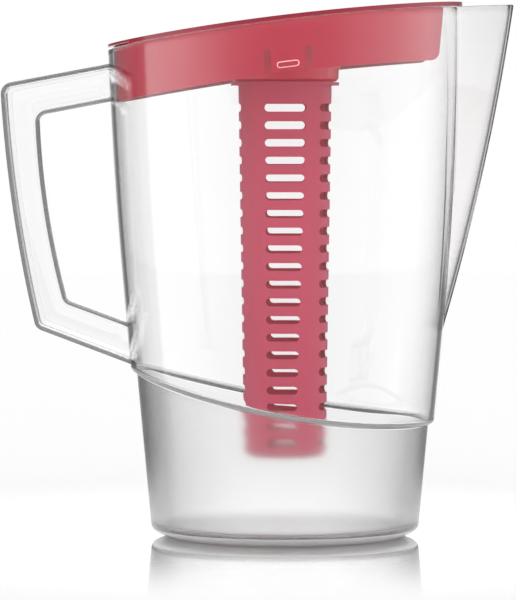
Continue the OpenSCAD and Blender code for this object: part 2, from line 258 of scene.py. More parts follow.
def circleRow(r, z):
    return [(r * cosd(a), r * sind(a), z) for a in columnAngles(0.0, 0.0)]


def evenRows(inset, count, startAt, endAt):
    return [outlineRow(inset, lambda x, t=i / count: mix(startAt(x), endAt(x), t))
            for i in range(1, count + 1)]


def rowsAlong(lineAt, pairs):
    # Rows that follow the rim or the ledge, each with its own inset and height above that line
    return [outlineRow(inset, lambda x, u=up: lineAt(x) + u) for inset, up in pairs]


def roundCorner(radius, steps):
    turns = [90 * i / steps for i in range(steps + 1)]
    return [(radius * (1 - cosd(a)), radius * (1 - sind(a))) for a in turns]


def footCornerZ():
    ringR = jug["baseR"] - jug["footRingIn"]
    cornerR, slope = jug["footCornerR"], jug["footSlopeA"]
    return (cornerR + (jug["baseR"] - cornerR - ringR) * sind(slope)) / cosd(slope)


def footRows():
    # From the hollow under the floor over the foot ring to the round corner under the wall
    ringR = jug["baseR"] - jug["footRingIn"]
    ringInR = ringR - jug["footRingW"]
    rows = [circleRow(ringInR - jug["footHollowH"], jug["footHollowH"])]
    rows += [circleRow(ringInR + out, up) for out, up in jug["ringInside"]]
    rows += [circleRow(ringR + out, up) for out, up in jug["ringOutside"]]
    cornerR, cornerZ, steps = jug["footCornerR"], footCornerZ(), bodyGrid["footSteps"]
    wallAt = upperR(cornerZ) - jug["ledgeW"]
    for i in range(steps + 1):
        a = mix(jug["footSlopeA"] - 90, 0, i / steps)
        rows.append(circleRow(wallAt - cornerR + cornerR * cosd(a), cornerZ + cornerR * sind(a)))
    return rows


def outerRows():
    # Up the outside: the lower wall, the step, the ledge's round corner, the upper wall and the rim
    ledgeW, cornerR, rimR = jug["ledgeW"], jug["ledgeCornerR"], jug["rimOuterR"]
    footZ = footCornerZ()
    rows = evenRows(ledgeW, bodyGrid["lowerRows"], lambda x: footZ, lambda x: ledgeZ(x) - jug["stepDrop"])
    rows += rowsAlong(ledgeZ, [(ledgeW - out, -drop) for out, drop in jug["stepRows"]])
    rows += rowsAlong(ledgeZ, reversed(roundCorner(cornerR, bodyGrid["ledgeSteps"])))
    rows += evenRows(0.0, bodyGrid["upperRows"], lambda x: ledgeZ(x) + cornerR, lambda x: rimZ(x) - rimR)
    rim = roundCorner(rimR, bodyGrid["rimOuterSteps"])[1:]
    return rows + rowsAlong(rimZ, [(inset, -drop) for inset, drop in rim])


def innerRows():
    # Down the inside: the rim, the upper wall, the ledge's hollow and its edge, the lower wall and the floor
    wallT, ledgeW, rimR = jug["wallT"], jug["ledgeW"], jug["rimInnerR"]
    cornerR, edge, floorR = jug["innerCornerR"], jug["innerEdgeR"], jug["floorCornerR"]
    floorZ = jug["footHollowH"] + jug["floorT"]

    def innerLedgeZ(x):
        return ledgeZ(x, wallT)

    rim = reversed(roundCorner(rimR, bodyGrid["rimInnerSteps"]))
    rows = rowsAlong(rimZ, [(wallT - inset, -drop) for inset, drop in rim])
    rows += evenRows(wallT, bodyGrid["upperRows"], lambda x: rimZ(x) - rimR,
                     lambda x: innerLedgeZ(x) + cornerR)
    corner = roundCorner(cornerR, bodyGrid["innerSteps"])[1:]
    rows += rowsAlong(innerLedgeZ, [(wallT + inset, rise) for inset, rise in corner])
    turns = [90 * i / bodyGrid["innerSteps"] for i in range(1, bodyGrid["innerSteps"] + 1)]
    rows += rowsAlong(innerLedgeZ, [(wallT + (ledgeW - edge * (1 - sind(a))), -edge * (1 - cosd(a)))
                                    for a in turns])
    rows += evenRows(wallT + ledgeW, bodyGrid["lowerRows"], lambda x: innerLedgeZ(x) - edge,
                     lambda x: floorZ + floorR)
    inside = upperR(floorZ + floorR) - ledgeW - wallT
    for i in range(1, bodyGrid["floorSteps"] + 1):
        a = -90 * i / bodyGrid["floorSteps"]
        rows.append(circleRow(inside - floorR + floorR * cosd(a), floorZ + floorR + floorR * sind(a)))
    return rows + [circleRow(inside * bodyGrid["floorMiddle"], floorZ)]


def rowsToMesh(name, rows, materials, startZ, endZ):
    # Joins the rows, and closes both ends with a fan to a point on the axis
    points = [(0.0, 0.0, startZ)]
    faces = []
    count = len(rows[0])
    for row in rows:
        points += row
    points.append((0.0, 0.0, endZ))
    last = len(points) - 1
    for j in range(count):
        k = (j + 1) % count
        faces.append((0, 1 + k, 1 + j))
        for i in range(len(rows) - 1):
            a, b = 1 + i * count, 1 + (i + 1) * count
            faces.append((a + j, a + k, b + k, b + j))
        b = 1 + (len(rows) - 1) * count
        faces.append((b + j, b + k, last))
    return meshObject(name, points, faces, materials)


# The handle: an I-beam that follows its outer side and the finger hole's side together, in mm

handle = dict(topReach=120.2, lowReach=105.4, bow=2.3, topDrop=6.0, topFall=8.5, lowUp=3.4, lowRise=15.0,
              armTop=15.9, armTopEnd=13.1, armLow=17.6, armLowEnd=11.8, gripTop=16.2, gripLow=13.0,
              width=25.0, rimT=1.6, holeRimT=1.5, webT=2.0, cornerR=4.8, holeCornerR=3.4,
              fillet=0.9, edge=0.3, roundShare=0.3,  # roundShare: where a rounding's middle point is
              embed=0.95,  # how deep the ends run into the wall
              shortest=-0.9, longest=12.0,  # the least and most that an end moves, in steps of its path
              armSteps=4, cornerSteps=7, gripSteps=22, halvings=50)


def bowedSide(p, q):
    d = unit((q[0] - p[0], q[1] - p[1]))
    out = (d[1], -d[0])
    side = []
    for i in range(handle["gripSteps"] + 1):
        t = i / handle["gripSteps"]
        push = handle["bow"] * 4 * t * (1 - t)
        side.append((mix(p[0], q[0], t) + out[0] * push, mix(p[1], q[1], t) + out[1] * push))
    return side


def cornerArc(before, at, after, radius):
    # The points of a rounded corner, and the distance from the corner at which it starts
    u = unit((before[0] - at[0], before[1] - at[1]))
    v = unit((after[0] - at[0], after[1] - at[1]))
    half = math.acos(u[0] * v[0] + u[1] * v[1]) / 2
    middle = unit((u[0] + v[0], u[1] + v[1]))
    centre = (at[0] + middle[0] * radius / math.sin(half), at[1] + middle[1] * radius / math.sin(half))
    reach = radius / math.tan(half)
    first = (at[0] + u[0] * reach - centre[0], at[1] + u[1] * reach - centre[1])
    turn = math.pi - 2 * half
    points = []
    for i in range(handle["cornerSteps"] + 1):
        a = turn * i / handle["cornerSteps"]
        points.append((centre[0] + first[0] * math.cos(a) - first[1] * math.sin(a),
                       centre[1] + first[0] * math.sin(a) + first[1] * math.cos(a)))
    return points, reach


def roundedPath(wallLow, low, top, wallTop, radius):
    # Out along the lower arm, up the bowed grip and back along the upper arm
    grip = bowedSide(low, top)
    steps, arms = handle["gripSteps"], handle["armSteps"]
    lowArc, lowReach = cornerArc(wallLow, low, grip[1], radius)
    topArc, topReach = cornerArc(grip[-2], top, wallTop, radius)
    start, end = lowReach / math.dist(low, top), 1 - topReach / math.dist(low, top)
    path = [tuple(mix(wallLow[k], lowArc[0][k], i / arms) for k in (0, 1)) for i in range(arms)] + lowArc
    for i in range(1, steps):
        at = mix(start, end, i / steps) * steps
        k = min(int(at), steps - 1)
        path.append((mix(grip[k][0], grip[k + 1][0], at - k), mix(grip[k][1], grip[k + 1][1], at - k)))
    path += topArc
    path += [tuple(mix(topArc[-1][k], wallTop[k], i / arms) for k in (0, 1)) for i in range(1, arms + 1)]
    return path


def pathNormals(path):
    normals = []
    for i in range(len(path)):
        before, after = path[max(i - 1, 0)], path[min(i + 1, len(path) - 1)]
        d = unit((after[0] - before[0], after[1] - before[1]))
        normals.append((-d[1], d[0]))
    return normals


def handlePaths():
    # The beam's outer side and the finger hole's side, as distance from the axis and height
    rootTopZ = jug["rimHandleZ"] - handle["topDrop"]
    rootLowZ = jug["ledgeHandleZ"] + handle["lowUp"]
    holeTopZ, holeLowZ = rootTopZ - handle["armTop"], rootLowZ + handle["armLow"]
    top = (handle["topReach"], rootTopZ - handle["topFall"])
    low = (handle["lowReach"], rootLowZ + handle["lowRise"])
    holeTop = (top[0] - handle["gripTop"], top[1] - handle["armTopEnd"])
    holeLow = (low[0] - handle["gripLow"], low[1] + handle["armLowEnd"])
    outer = roundedPath((upperR(rootLowZ), rootLowZ), low, top, (upperR(rootTopZ), rootTopZ),
                        handle["cornerR"])
    hole = roundedPath((upperR(holeLowZ), holeLowZ), holeLow, holeTop, (upperR(holeTopZ), holeTopZ),
                       handle["holeCornerR"])
    return outer, hole


def flangeProfile(thickness):
    # Half a flange of the beam, from its outer side to the web, as depth and distance from the middle
    half, web = handle["width"] / 2, handle["webT"] / 2
    edge, fillet, share = handle["edge"], handle["fillet"], handle["roundShare"]
    return [(0, half - edge), (edge * share, half - edge * share), (edge, half), (thickness - edge, half),
            (thickness - edge * share, half - edge * share), (thickness, half - edge),
            (thickness, web + fillet), (thickness + fillet * share, web + fillet * share),
            (thickness + fillet, web)]


def endInWall(p, q):
    # Moves a strand's end p along the line from q, by halving, until it is inside the jug's wall
    d = (p[0] - q[0], p[2] - q[2])
    lowT, highT = handle["shortest"], handle["longest"]
    for _ in range(handle["halvings"]):
        t = (lowT + highT) / 2
        if math.hypot(p[0] + d[0] * t, p[1]) > upperR(p[2] + d[1] * t) - handle["embed"]:
            lowT = t
        else:
            highT = t
    return (p[0] + d[0] * lowT, p[1], p[2] + d[1] * lowT)


def handleStrand(path, depth, y):
    strand = [(p[0] + n[0] * depth, y, p[1] + n[1] * depth) for p, n in zip(path, pathNormals(path))]
    strand[0] = endInWall(strand[0], strand[1])
    strand[-1] = endInWall(strand[-1], strand[-2])
    return [(-x, across, z) for x, across, z in strand]


def handleMesh(name, materials):
    outer, hole = handlePaths()
    profile = [(outer, depth, y) for depth, y in flangeProfile(handle["rimT"])]
    profile += [(hole, -depth, y) for depth, y in reversed(flangeProfile(handle["holeRimT"]))]
    profile += [(path, depth, -y) for path, depth, y in reversed(profile)]
    strands = [handleStrand(path, depth, y) for path, depth, y in profile]
    stations, around = len(outer), len(strands)
    points = [strands[j][i] for i in range(stations) for j in range(around)]
    faces = []
    for i in range(stations - 1):
        for j in range(around):
            k = (j + 1) % around
            faces.append((i * around + j, (i + 1) * around + j, (i + 1) * around + k, i * around + k))
    faces.append(tuple(range(around)))
    faces.append(tuple(reversed(range((stations - 1) * around, stations * around))))
    return meshObject(name, points, faces, materials)


# Where the jug is frosted and veiled, and where it gets painted grey shade

# Lengths are in mm. A turn is how much of a face's normal points that way
frosting = dict(footVeil=0.55, lowerVeil=0.03, ledgeVeil=0.28, outwardTurn=0.5, downTurn=0.1, upTurn=0.3,
                belowLedge=0.45, lowerSpare=0.3, ledgeBelow=0.3, ledgeAbove=0.2, ledgeSpare=0.1)

greys = dict(handleX=-50.0, handleOut=0.5, rimTurn=0.3, webTurn=0.9, webHalf=2.0, web=0.05,
             armSpare=1.0, armEnds=((72.0, 95.0, 0.5), (186.0, 202.0, 0.25)),  # low, high, grey
             flankX=66.0, flankOut=0.3, flankHalf=1.0, flankLowZ=150.0, flankHighZ=220.0,
             flankRoot=0.035, flankMore=0.15)


def frostAndVeil(x, z, r, outward, up):
    # Frosted are the foot, the outside of the lower wall and both sides of the ledge
    foot = z < jug["footCornerR"] and (outward or up < 0)
    wall = r < upperR(z) - jug["ledgeW"] + frosting["lowerSpare"]
    lower = foot or outward and z < ledgeZ(x) - frosting["belowLedge"] and wall
    low, high = ledgeZ(x) - frosting["ledgeBelow"], ledgeZ(x, jug["wallT"]) + frosting["ledgeAbove"]
    near = low < z < high and r < upperR(z) + frosting["ledgeSpare"] and x > -jug["rimR"]
    ledge = near and (up < -frosting["downTurn"] if outward or up < 0 else up > frosting["upTurn"])
    veil = frosting["lowerVeil"] if lower else 0.0
    if ledge and outward:
        veil = frosting["ledgeVeil"]
    return 1.0 if lower or ledge else 0.0, frosting["footVeil"] if foot else veil


def handleGrey(y, z, r, sideways):
    # Painted grey shade on the rims, the web and the arms' ends, seen edge-on through a long way of plastic
    half = handle["width"] / 2
    if r > upperR(z) + greys["handleOut"]:
        if sideways > greys["rimTurn"] and abs(y) > half - handle["edge"]:
            return 1.0
        return greys["web"] if sideways > greys["webTurn"] and abs(y) < greys["webHalf"] else 0.0
    for lowZ, highZ, grey in greys["armEnds"]:
        if lowZ < z < highZ and abs(y) < half + greys["armSpare"]:
            return grey
    return 0.0


def spoutGrey(x, y, z, r, outward):
    # Painted grey shade: the spout is greyer towards its nose and towards its top
    nose, flank = 0.0, 0.0
    if outward and z > jug["spoutRootZ"]:
        nose = max(0.0, (x - spoutX(z) + jug["noseR"]) / jug["noseR"])
    if x > greys["flankX"] and r > upperR(z) + greys["flankOut"] and abs(y) > greys["flankHalf"]:
        across = shareOf(x, greys["flankX"], spoutX(z))
        rise = shareOf(z, greys["flankLowZ"], greys["flankHighZ"])
        flank = rise * (greys["flankRoot"] + greys["flankMore"] * across)
    return max(flank, nose ** 2)


def markJug(obj):
    frosted, veiled, paintedShade = [], [], []
    for face in obj.data.polygons:
        x, y, z = face.center.x / mm - axisX, face.center.y / mm, face.center.z / mm
        r = math.hypot(x, y)
        outward = face.normal.x * x + face.normal.y * y > frosting["outwardTurn"] * r
        frost, veil = frostAndVeil(x, z, r, outward, face.normal.z)
        frosted.append(frost)
        veiled.append(veil)
        atHandle = x < greys["handleX"]
        paintedShade.append(handleGrey(y, z, r, abs(face.normal.y)) if atHandle else spoutGrey(x, y, z, r, outward))
    addFaceValues(obj, "frosted", frosted)
    addFaceValues(obj, "veiled", veiled)
    addFaceValues(obj, "paintedShade", paintedShade)


# The raised bar on each of the lid's snap tongues, its polished rounding given a painted highlight

# In mm. The second line shapes the rings from the skirt to the top. The third is the gap between the skirt
# and the jug's wall, and the arc of the skirt's lower edge
snapBump = dict(length=8.6, height=2.0, x=0.8, up=3.4, spread=0.3, round=0.35, out=0.34, steps=10,
                sunk=0.1, foot=0.08, turnIn=0.3, turnOut=0.8, lip=0.25, lipOut=0.75, brightRings=(1, 2),
                gap=0.6, skirtArcR=862.0, skirtHandleH=23.1, skirtSpoutH=21.9, skirtEndA=27.9)


def bumpPlace():
    # The Z of the bar's middle, a little above the skirt's arched lower edge, and its tilt along that edge
    inside, arcR = jug["wallT"] + snapBump["gap"], snapBump["skirtArcR"]
    handleX = -(upperR(jug["rimHandleZ"]) - inside)
    endX = (upperR(jug["rimSpoutZ"]) - inside) * cosd(snapBump["skirtEndA"])
    centre = arcCentre((handleX, rimZ(handleX) - snapBump["skirtHandleH"]),
                       (endX, rimZ(endX) - snapBump["skirtSpoutH"]), arcR, -1)
    tilt = math.degrees(math.asin((centre[0] - snapBump["x"]) / arcR))
    return arcZ(centre, arcR, -1, snapBump["x"]) + snapBump["up"], tilt


def bumpRings():
    # Each ring's distance outside the bar's outline, and how far it stands proud of the skirt
    spread, turn, out = snapBump["spread"], snapBump["round"], snapBump["out"]
    return ((spread, -snapBump["sunk"]), (spread, snapBump["foot"]),
            (spread - turn * snapBump["turnIn"], out * snapBump["turnOut"]), (spread - turn, out),
            (spread - turn - snapBump["lip"], out * snapBump["lipOut"]))


def bumpPoints(side):
    middleZ, tilt = bumpPlace()
    half, straight = snapBump["height"] / 2, (snapBump["length"] - snapBump["height"]) / 2
    steps, points = snapBump["steps"], []
    for grow, proud in bumpRings():
        for i in range(2 * steps + 2):
            end = 1 if i <= steps else -1
            a = 90 - 180 * (i % (steps + 1)) / steps - (0 if end == 1 else 180)
            u, v = end * straight + (half + grow) * cosd(a), (half + grow) * sind(a)
            x, z = snapBump["x"] + u * cosd(tilt) - v * sind(tilt), middleZ + u * sind(tilt) + v * cosd(tilt)
            r = upperR(z) - jug["wallT"] - snapBump["gap"] + proud
            points.append((x, side * math.sqrt(r * r - x * x), z))
    return points


def bumpMesh(name, side, materials):
    points, faces, paintedHighlight = bumpPoints(side), [], []
    around = 2 * snapBump["steps"] + 2
    rings = len(points) // around
    for k in range(rings - 1):
        for i in range(around):
            j = (i + 1) % around
            a, b = k * around, (k + 1) * around
            faces.append((a + i, a + j, b + j, b + i))
            # The rounding's rings carry the painted highlight
            paintedHighlight.append(1.0 if k in snapBump["brightRings"] else 0.0)
    faces += [tuple(range((rings - 1) * around, rings * around)), tuple(range(around))]
    paintedHighlight += [0.0, 0.0]
    obj = meshObject(name, points, faces, materials)
    shell = bmesh.new()
    shell.from_mesh(obj.data)
    bmesh.ops.recalc_face_normals(shell, faces=shell.faces)
    shell.to_mesh(obj.data)
    shell.free()
    addFaceValues(obj, "paintedHighlight", paintedHighlight)
    return obj


# Painted shade in a deeper red on the lid's lip and skirt's inside, and on the infuser's slot sides

# Lengths are in mm. A turn is how much of a face's normal points away from the axis, or towards it
lidMarks = dict(inside=0.8, turn=0.5, skirtR=60.0)
slotMarks = dict(paintedShade=0.6, turn=0.6, leastR=15.0)


def lidShade(x, z, r, outward):
    # Painted shade on the lip that stands above the rim, and on the skirt's inside
    if z > rimZ(x) and outward > lidMarks["turn"]:
        return 1.0
    return lidMarks["inside"] if outward < -lidMarks["turn"] and r > lidMarks["skirtR"] else 0.0


def slotShade(x, z, r, outward):
    # Painted shade on the sides of the slots in the tube's wall
    return slotMarks["paintedShade"] if abs(outward) < slotMarks["turn"] and r > slotMarks["leastR"] else 0.0


def markPaintedShade(obj, depthAt):
    turn = obj.matrix_world.to_3x3()
    values = []
    for face in obj.data.polygons:
        at, way = obj.matrix_world @ face.center, turn @ face.normal
        x, y = at.x / mm - axisX, at.y / mm
        r = math.hypot(x, y)
        values.append(depthAt(x, at.z / mm, r, (way.x * x + way.y * y) / r))
    addFaceValues(obj, "paintedShade", values)


# Materials, with lengths in mm

def emptyMaterial(name):
    material = bpy.data.materials.new(name)
    material.use_nodes = True
    material.node_tree.nodes.clear()
    return material, material.node_tree, addNode(material.node_tree, "ShaderNodeOutputMaterial")


def edgeShade(tree, look):
    # Painted shade where a surface is seen edge-on, as light has had a longer way through the plastic
    facing = addNode(tree, "ShaderNodeLayerWeight")
    return addNode(tree, "ShaderNodeMapRange",
                   {"From Min": look["shadeFrom"], "From Max": look["shadeTo"],
                    "To Min": 1.0, "To Max": look["shade"]},
                   {"Value": facing.outputs["Facing"]})


def surfaceRelief(tree, place, look):
    pattern = addNode(tree, "ShaderNodeTexNoise",
                      {"Scale": 1 / (look["reliefSize"] * mm), "Detail": look["reliefDetail"]},
                      {"Vector": place.outputs["Object"]})
    return addNode(tree, "ShaderNodeBump",
                   {"Strength": look["reliefStrength"], "Distance": look["reliefHeight"] * mm},
                   {"Height": pattern.outputs["Fac"]})


# Clear styrene from a polished mould: it mirrors the room sharply, and the wall's thickness greys the edges.
# Below the ledge the mould was spark-eroded, so the plastic blurs what is behind it under a pale veil.
# The relief is the moulding's slow waviness
# shadeColour is painted grey shade on the faces markJug marks, and frosted faces get painted shade edge-on
clearLook = dict(roughness=0.02, frostRoughness=0.24, ior=1.5, absorb=0.017, absorbColour="#303234",
                 shadeColour="#9e9e9e", veilColour="#f4f4f4", shadeFrom=0.03, shadeTo=0.5, shade=0.4,
                 reliefSize=30.0, reliefDetail=2.0, reliefStrength=0.15, reliefHeight=0.05)


def clearStyrene(name, look):
    material, tree, output = emptyMaterial(name)
    place = addNode(tree, "ShaderNodeTexCoord")
    frosted, veiled, paintedShade = [addNode(tree, "ShaderNodeAttribute", attributes={"attribute_name": mark})
                             for mark in ("frosted", "veiled", "paintedShade")]
    rough = addNode(tree, "ShaderNodeMapRange",
                    {"To Min": look["roughness"], "To Max": look["frostRoughness"]},
                    {"Value": frosted.outputs["Fac"]})
    tint = addNode(tree, "ShaderNodeMix", {"A": white},
                   {"Factor": frosted.outputs["Fac"], "B": edgeShade(tree, look).outputs["Result"]},
                   {"data_type": "RGBA"})
    # Painted shade: grey on the faces that markJug marks
    colour = addNode(tree, "ShaderNodeMix", {"B": hexColour(look["shadeColour"])},
                     {"Factor": paintedShade.outputs["Fac"], "A": tint.outputs["Result"]}, {"data_type": "RGBA"})
    relief = surfaceRelief(tree, place, look)
    shader = addNode(tree, "ShaderNodeBsdfPrincipled", {"IOR": look["ior"], "Transmission Weight": 1.0},
                     {"Base Color": colour.outputs["Result"], "Normal": relief.outputs["Normal"],
                      "Roughness": rough.outputs["Result"]})
    veil = addNode(tree, "ShaderNodeBsdfDiffuse", {"Color": hexColour(look["veilColour"])})
    surface = addNode(tree, "ShaderNodeMixShader", None,
                      {0: veiled.outputs["Fac"], 1: shader.outputs["BSDF"], 2: veil.outputs["BSDF"]})
    absorb = addNode(tree, "ShaderNodeVolumeAbsorption",
                     {"Color": hexColour(look["absorbColour"]), "Density": look["absorb"] / mm})
    tree.links.new(surface.outputs["Shader"], output.inputs["Surface"])
    tree.links.new(absorb.outputs["Volume"], output.inputs["Volume"])
    return material


# Tinted translucent polypropylene: light scatters in the wall, so it glows and lets a soft shade through. The
# lid's mould was polished, so it catches sharp lights, and the infuser's was left satin, so it looks matte.
# The relief is the surface's grain, which is really about 0.05 mm and is drawn coarser to show at all
# shadeColour is painted shade, and highlightColour with glow a painted highlight on the bumps' rounding
lidLook = dict(colour="#fe1c4c", shadeColour="#98102f", highlightColour="#ffd8dc", glow=0.7,
               roughness=0.1, ior=1.49, specular=0.85, through=0.12,
               shadeFrom=0.08, shadeTo=0.6, shade=0.95, topFrom=0.8, topTo=0.9,
               reliefSize=0.5, reliefDetail=2.0, reliefStrength=0.12, reliefHeight=0.02,
               skirtShade=0.2, shadeInR=30.0, shadeOutR=34.0, shadeLow=0.5, shadeHigh=4.0,
               rings=((22.7, 3.3), (71.9, 1.5)), ringHard=0.4, ringSoft=0.9, ringShade=0.16,
               cloudSize=22.0, cloudDetail=3.0, cloudFrom=0.3, cloudTo=0.7, cloudShade=0.06)
infuserLook = dict(lidLook, colour="#fb5c7d", roughness=0.4, specular=0.5)


def skirtShadow(tree, look, offset, away, top):
    # The socket is in the skirt's shade down to the skirt's sloping edge, which shows through the slits
    barZ, tilt = bumpPlace()
    edge = (barZ - snapBump["up"]) * cosd(tilt) - snapBump["x"] * sind(tilt)
    rise = addNode(tree, "ShaderNodeVectorMath", {1: (-sind(tilt), 0.0, cosd(tilt))}, {0: offset.outputs[0]},
                   {"operation": "DOT_PRODUCT"})
    above = addNode(tree, "ShaderNodeMapRange",
                    {"From Min": (edge + look["shadeLow"]) * mm, "From Max": (edge + look["shadeHigh"]) * mm},
                    {"Value": rise.outputs["Value"]})
    within = addNode(tree, "ShaderNodeMapRange",
                     {"From Min": look["shadeInR"] * mm, "From Max": look["shadeOutR"] * mm,
                      "To Min": look["skirtShade"], "To Max": 0.0}, {"Value": away.outputs["Value"]})
    shadow = addNode(tree, "ShaderNodeMath", None, {0: above.outputs["Result"], 1: within.outputs["Result"]},
                     {"operation": "MULTIPLY"})
    upright = addNode(tree, "ShaderNodeMath", {0: 1.0}, {1: top.outputs["Result"]}, {"operation": "SUBTRACT"})
    return addNode(tree, "ShaderNodeMath", None, {0: shadow.outputs[0], 1: upright.outputs[0]},
                   {"operation": "MULTIPLY"})


def plateRings(tree, look, away):
    # From above, the socket's wall and the skirt show as darker rings, because less light gets through there
    rings = None
    for middle, width in look["rings"]:
        offset = addNode(tree, "ShaderNodeMath", {1: middle * mm}, {0: away.outputs["Value"]},
                         {"operation": "SUBTRACT"})
        near = addNode(tree, "ShaderNodeMath", None, {0: offset.outputs[0]}, {"operation": "ABSOLUTE"})
        ring = addNode(tree, "ShaderNodeMapRange",
                       {"From Min": (width / 2 - look["ringHard"]) * mm,
                        "From Max": (width / 2 + look["ringSoft"]) * mm,
                        "To Min": look["ringShade"], "To Max": 0.0},
                       {"Value": near.outputs[0]}, {"interpolation_type": "SMOOTHSTEP"})
        rings = ring if rings is None else addNode(tree, "ShaderNodeMath", None,
                                                   {0: rings.outputs[0], 1: ring.outputs[0]},
                                                   {"operation": "MAXIMUM"})
    return rings


def plateLight(tree, look, place, away, top):
    # How much light comes up through the plate: less at the rings, and a little uneven between them
    rings = plateRings(tree, look, away)
    cloud = addNode(tree, "ShaderNodeTexNoise",
                    {"Scale": 1 / (look["cloudSize"] * mm), "Detail": look["cloudDetail"]},
                    {"Vector": place.outputs["Object"]})
    uneven = addNode(tree, "ShaderNodeMapRange",
                     {"From Min": look["cloudFrom"], "From Max": look["cloudTo"],
                      "To Min": look["cloudShade"], "To Max": 0.0}, {"Value": cloud.outputs["Fac"]})
    darker = addNode(tree, "ShaderNodeMath", None, {0: rings.outputs[0], 1: uneven.outputs["Result"]},
                     {"operation": "ADD"})
    masked = addNode(tree, "ShaderNodeMath", None, {0: darker.outputs[0], 1: top.outputs["Result"]},
                     {"operation": "MULTIPLY"})
    return addNode(tree, "ShaderNodeMath", {0: 1.0}, {1: masked.outputs[0]}, {"operation": "SUBTRACT"})


def tintedPolypropylene(name, look):
    material, tree, output = emptyMaterial(name)
    place = addNode(tree, "ShaderNodeTexCoord")
    paintedShade, paintedHighlight = [addNode(tree, "ShaderNodeAttribute", attributes={"attribute_name": mark})
                  for mark in ("paintedShade", "paintedHighlight")]
    offset = addNode(tree, "ShaderNodeVectorMath", {1: (axisX * mm, 0, 0)}, {0: place.outputs["Object"]},
                     {"operation": "SUBTRACT"})
    level = addNode(tree, "ShaderNodeVectorMath", {1: (1, 1, 0)}, {0: offset.outputs[0]},
                    {"operation": "MULTIPLY"})
    away = addNode(tree, "ShaderNodeVectorMath", None, {0: level.outputs[0]}, {"operation": "LENGTH"})
    normal = addNode(tree, "ShaderNodeSeparateXYZ", None, {0: place.outputs["Normal"]})
    top = addNode(tree, "ShaderNodeMapRange", {"From Min": look["topFrom"], "From Max": look["topTo"]},
                  {"Value": normal.outputs["Z"]})
    shadow = skirtShadow(tree, look, offset, away, top)
    # Painted shade: the marked faces and the socket under the skirt shift towards shadeColour
    shadeAmount = addNode(tree, "ShaderNodeMath", None, {0: paintedShade.outputs["Fac"], 1: shadow.outputs[0]},
                      {"operation": "MAXIMUM"})
    red = addNode(tree, "ShaderNodeMix", {"A": hexColour(look["colour"]), "B": hexColour(look["shadeColour"])},
                  {"Factor": shadeAmount.outputs[0]}, {"data_type": "RGBA"})
    own = addNode(tree, "ShaderNodeMix", {"B": hexColour(look["highlightColour"])},
                  {"Factor": paintedHighlight.outputs["Fac"], "A": red.outputs["Result"]}, {"data_type": "RGBA"})
    light = addNode(tree, "ShaderNodeMath", None,
                    {0: edgeShade(tree, look).outputs["Result"],
                     1: plateLight(tree, look, place, away, top).outputs[0]}, {"operation": "MULTIPLY"})
    colour = addNode(tree, "ShaderNodeMix", {"Factor": 1.0},
                     {"A": own.outputs["Result"], "B": light.outputs[0]},
                     {"data_type": "RGBA", "blend_type": "MULTIPLY"})
    # Painted highlight: a pale colour and a faint glow on the bump's rounding, for the lights it would mirror
    glow = addNode(tree, "ShaderNodeMath", {1: look["glow"]}, {0: paintedHighlight.outputs["Fac"]},
                   {"operation": "MULTIPLY"})
    relief = surfaceRelief(tree, place, look)
    shader = addNode(tree, "ShaderNodeBsdfPrincipled",
                     {"Roughness": look["roughness"], "IOR": look["ior"],
                      "Specular IOR Level": look["specular"],
                      "Emission Color": hexColour(look["highlightColour"])},
                     {"Base Color": colour.outputs["Result"], "Normal": relief.outputs["Normal"],
                      "Emission Strength": glow.outputs[0]})
    behind = addNode(tree, "ShaderNodeBsdfTranslucent", None, {"Color": colour.outputs["Result"]})
    both = addNode(tree, "ShaderNodeMixShader", {"Fac": look["through"]},
                   {1: shader.outputs["BSDF"], 2: behind.outputs["BSDF"]})
    tree.links.new(both.outputs["Shader"], output.inputs["Surface"])
    material.cycles.emission_sampling = "NONE"  # the glow is too faint to be worth sampling as a light
    return material


clearMaterial = clearStyrene("PolishedClearStyrene", clearLook)
lidMaterial = tintedPolypropylene("GlossyRaspberryPolypropylene", lidLook)
infuserMaterial = tintedPolypropylene("SatinRaspberryPolypropylene", infuserLook)
print("materials: done")


# The pieces of the jug

smoothing = dict(jug=32.0, bump=40.0)  # edges that turn by more degrees than this stay sharp

bodyRows = footRows() + outerRows() + innerRows()
body = rowsToMesh("JugBody", bodyRows, [clearMaterial], jug["footHollowH"],
                  jug["footHollowH"] + jug["floorT"])
joinWith(body, handleMesh("JugHandle", [clearMaterial]))
markJug(body)
smoothByAngle(body, smoothing["jug"])
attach(body, "jug")
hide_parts("jug")
print("jug: done", len(body.data.vertices))

for name, material, slot in (("lid", lidMaterial, "lid_plastic"),
                             ("infuser", infuserMaterial, "infuser_plastic")):
    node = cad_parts[name]
    node.data.materials.clear()
    node.data.materials.append(material)
markPaintedShade(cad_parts["lid"], lidShade)
markPaintedShade(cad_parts["infuser"], slotShade)
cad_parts["lid"].visible_glossy = False  # or the clear walls, which look white, would mirror its inside
print("lid and infuser: done")

for side, name in ((-1, "LidBumpFront"), (1, "LidBumpBack")):
    raised = bumpMesh(name, side, [lidMaterial])
    smoothByAngle(raised, smoothing["bump"])
    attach(raised, "lid")
print("snap bumps: done")


# The floor

# A table top with a glossy white coat: it mirrors the jug's foot, and further out it is plain pale grey.
# Lengths are in metres from the jug's axis
floorLook = dict(colour="#efefef", farColour="#e2e2e2", roughness=0.03, mirrorShare=1.0,
                 halfSize=3.0, mirrorNear=0.05, mirrorFar=0.25, tableNear=0.12, tableFar=0.3)
anyBounce = 0.5  # a count of bounces above this is one or more


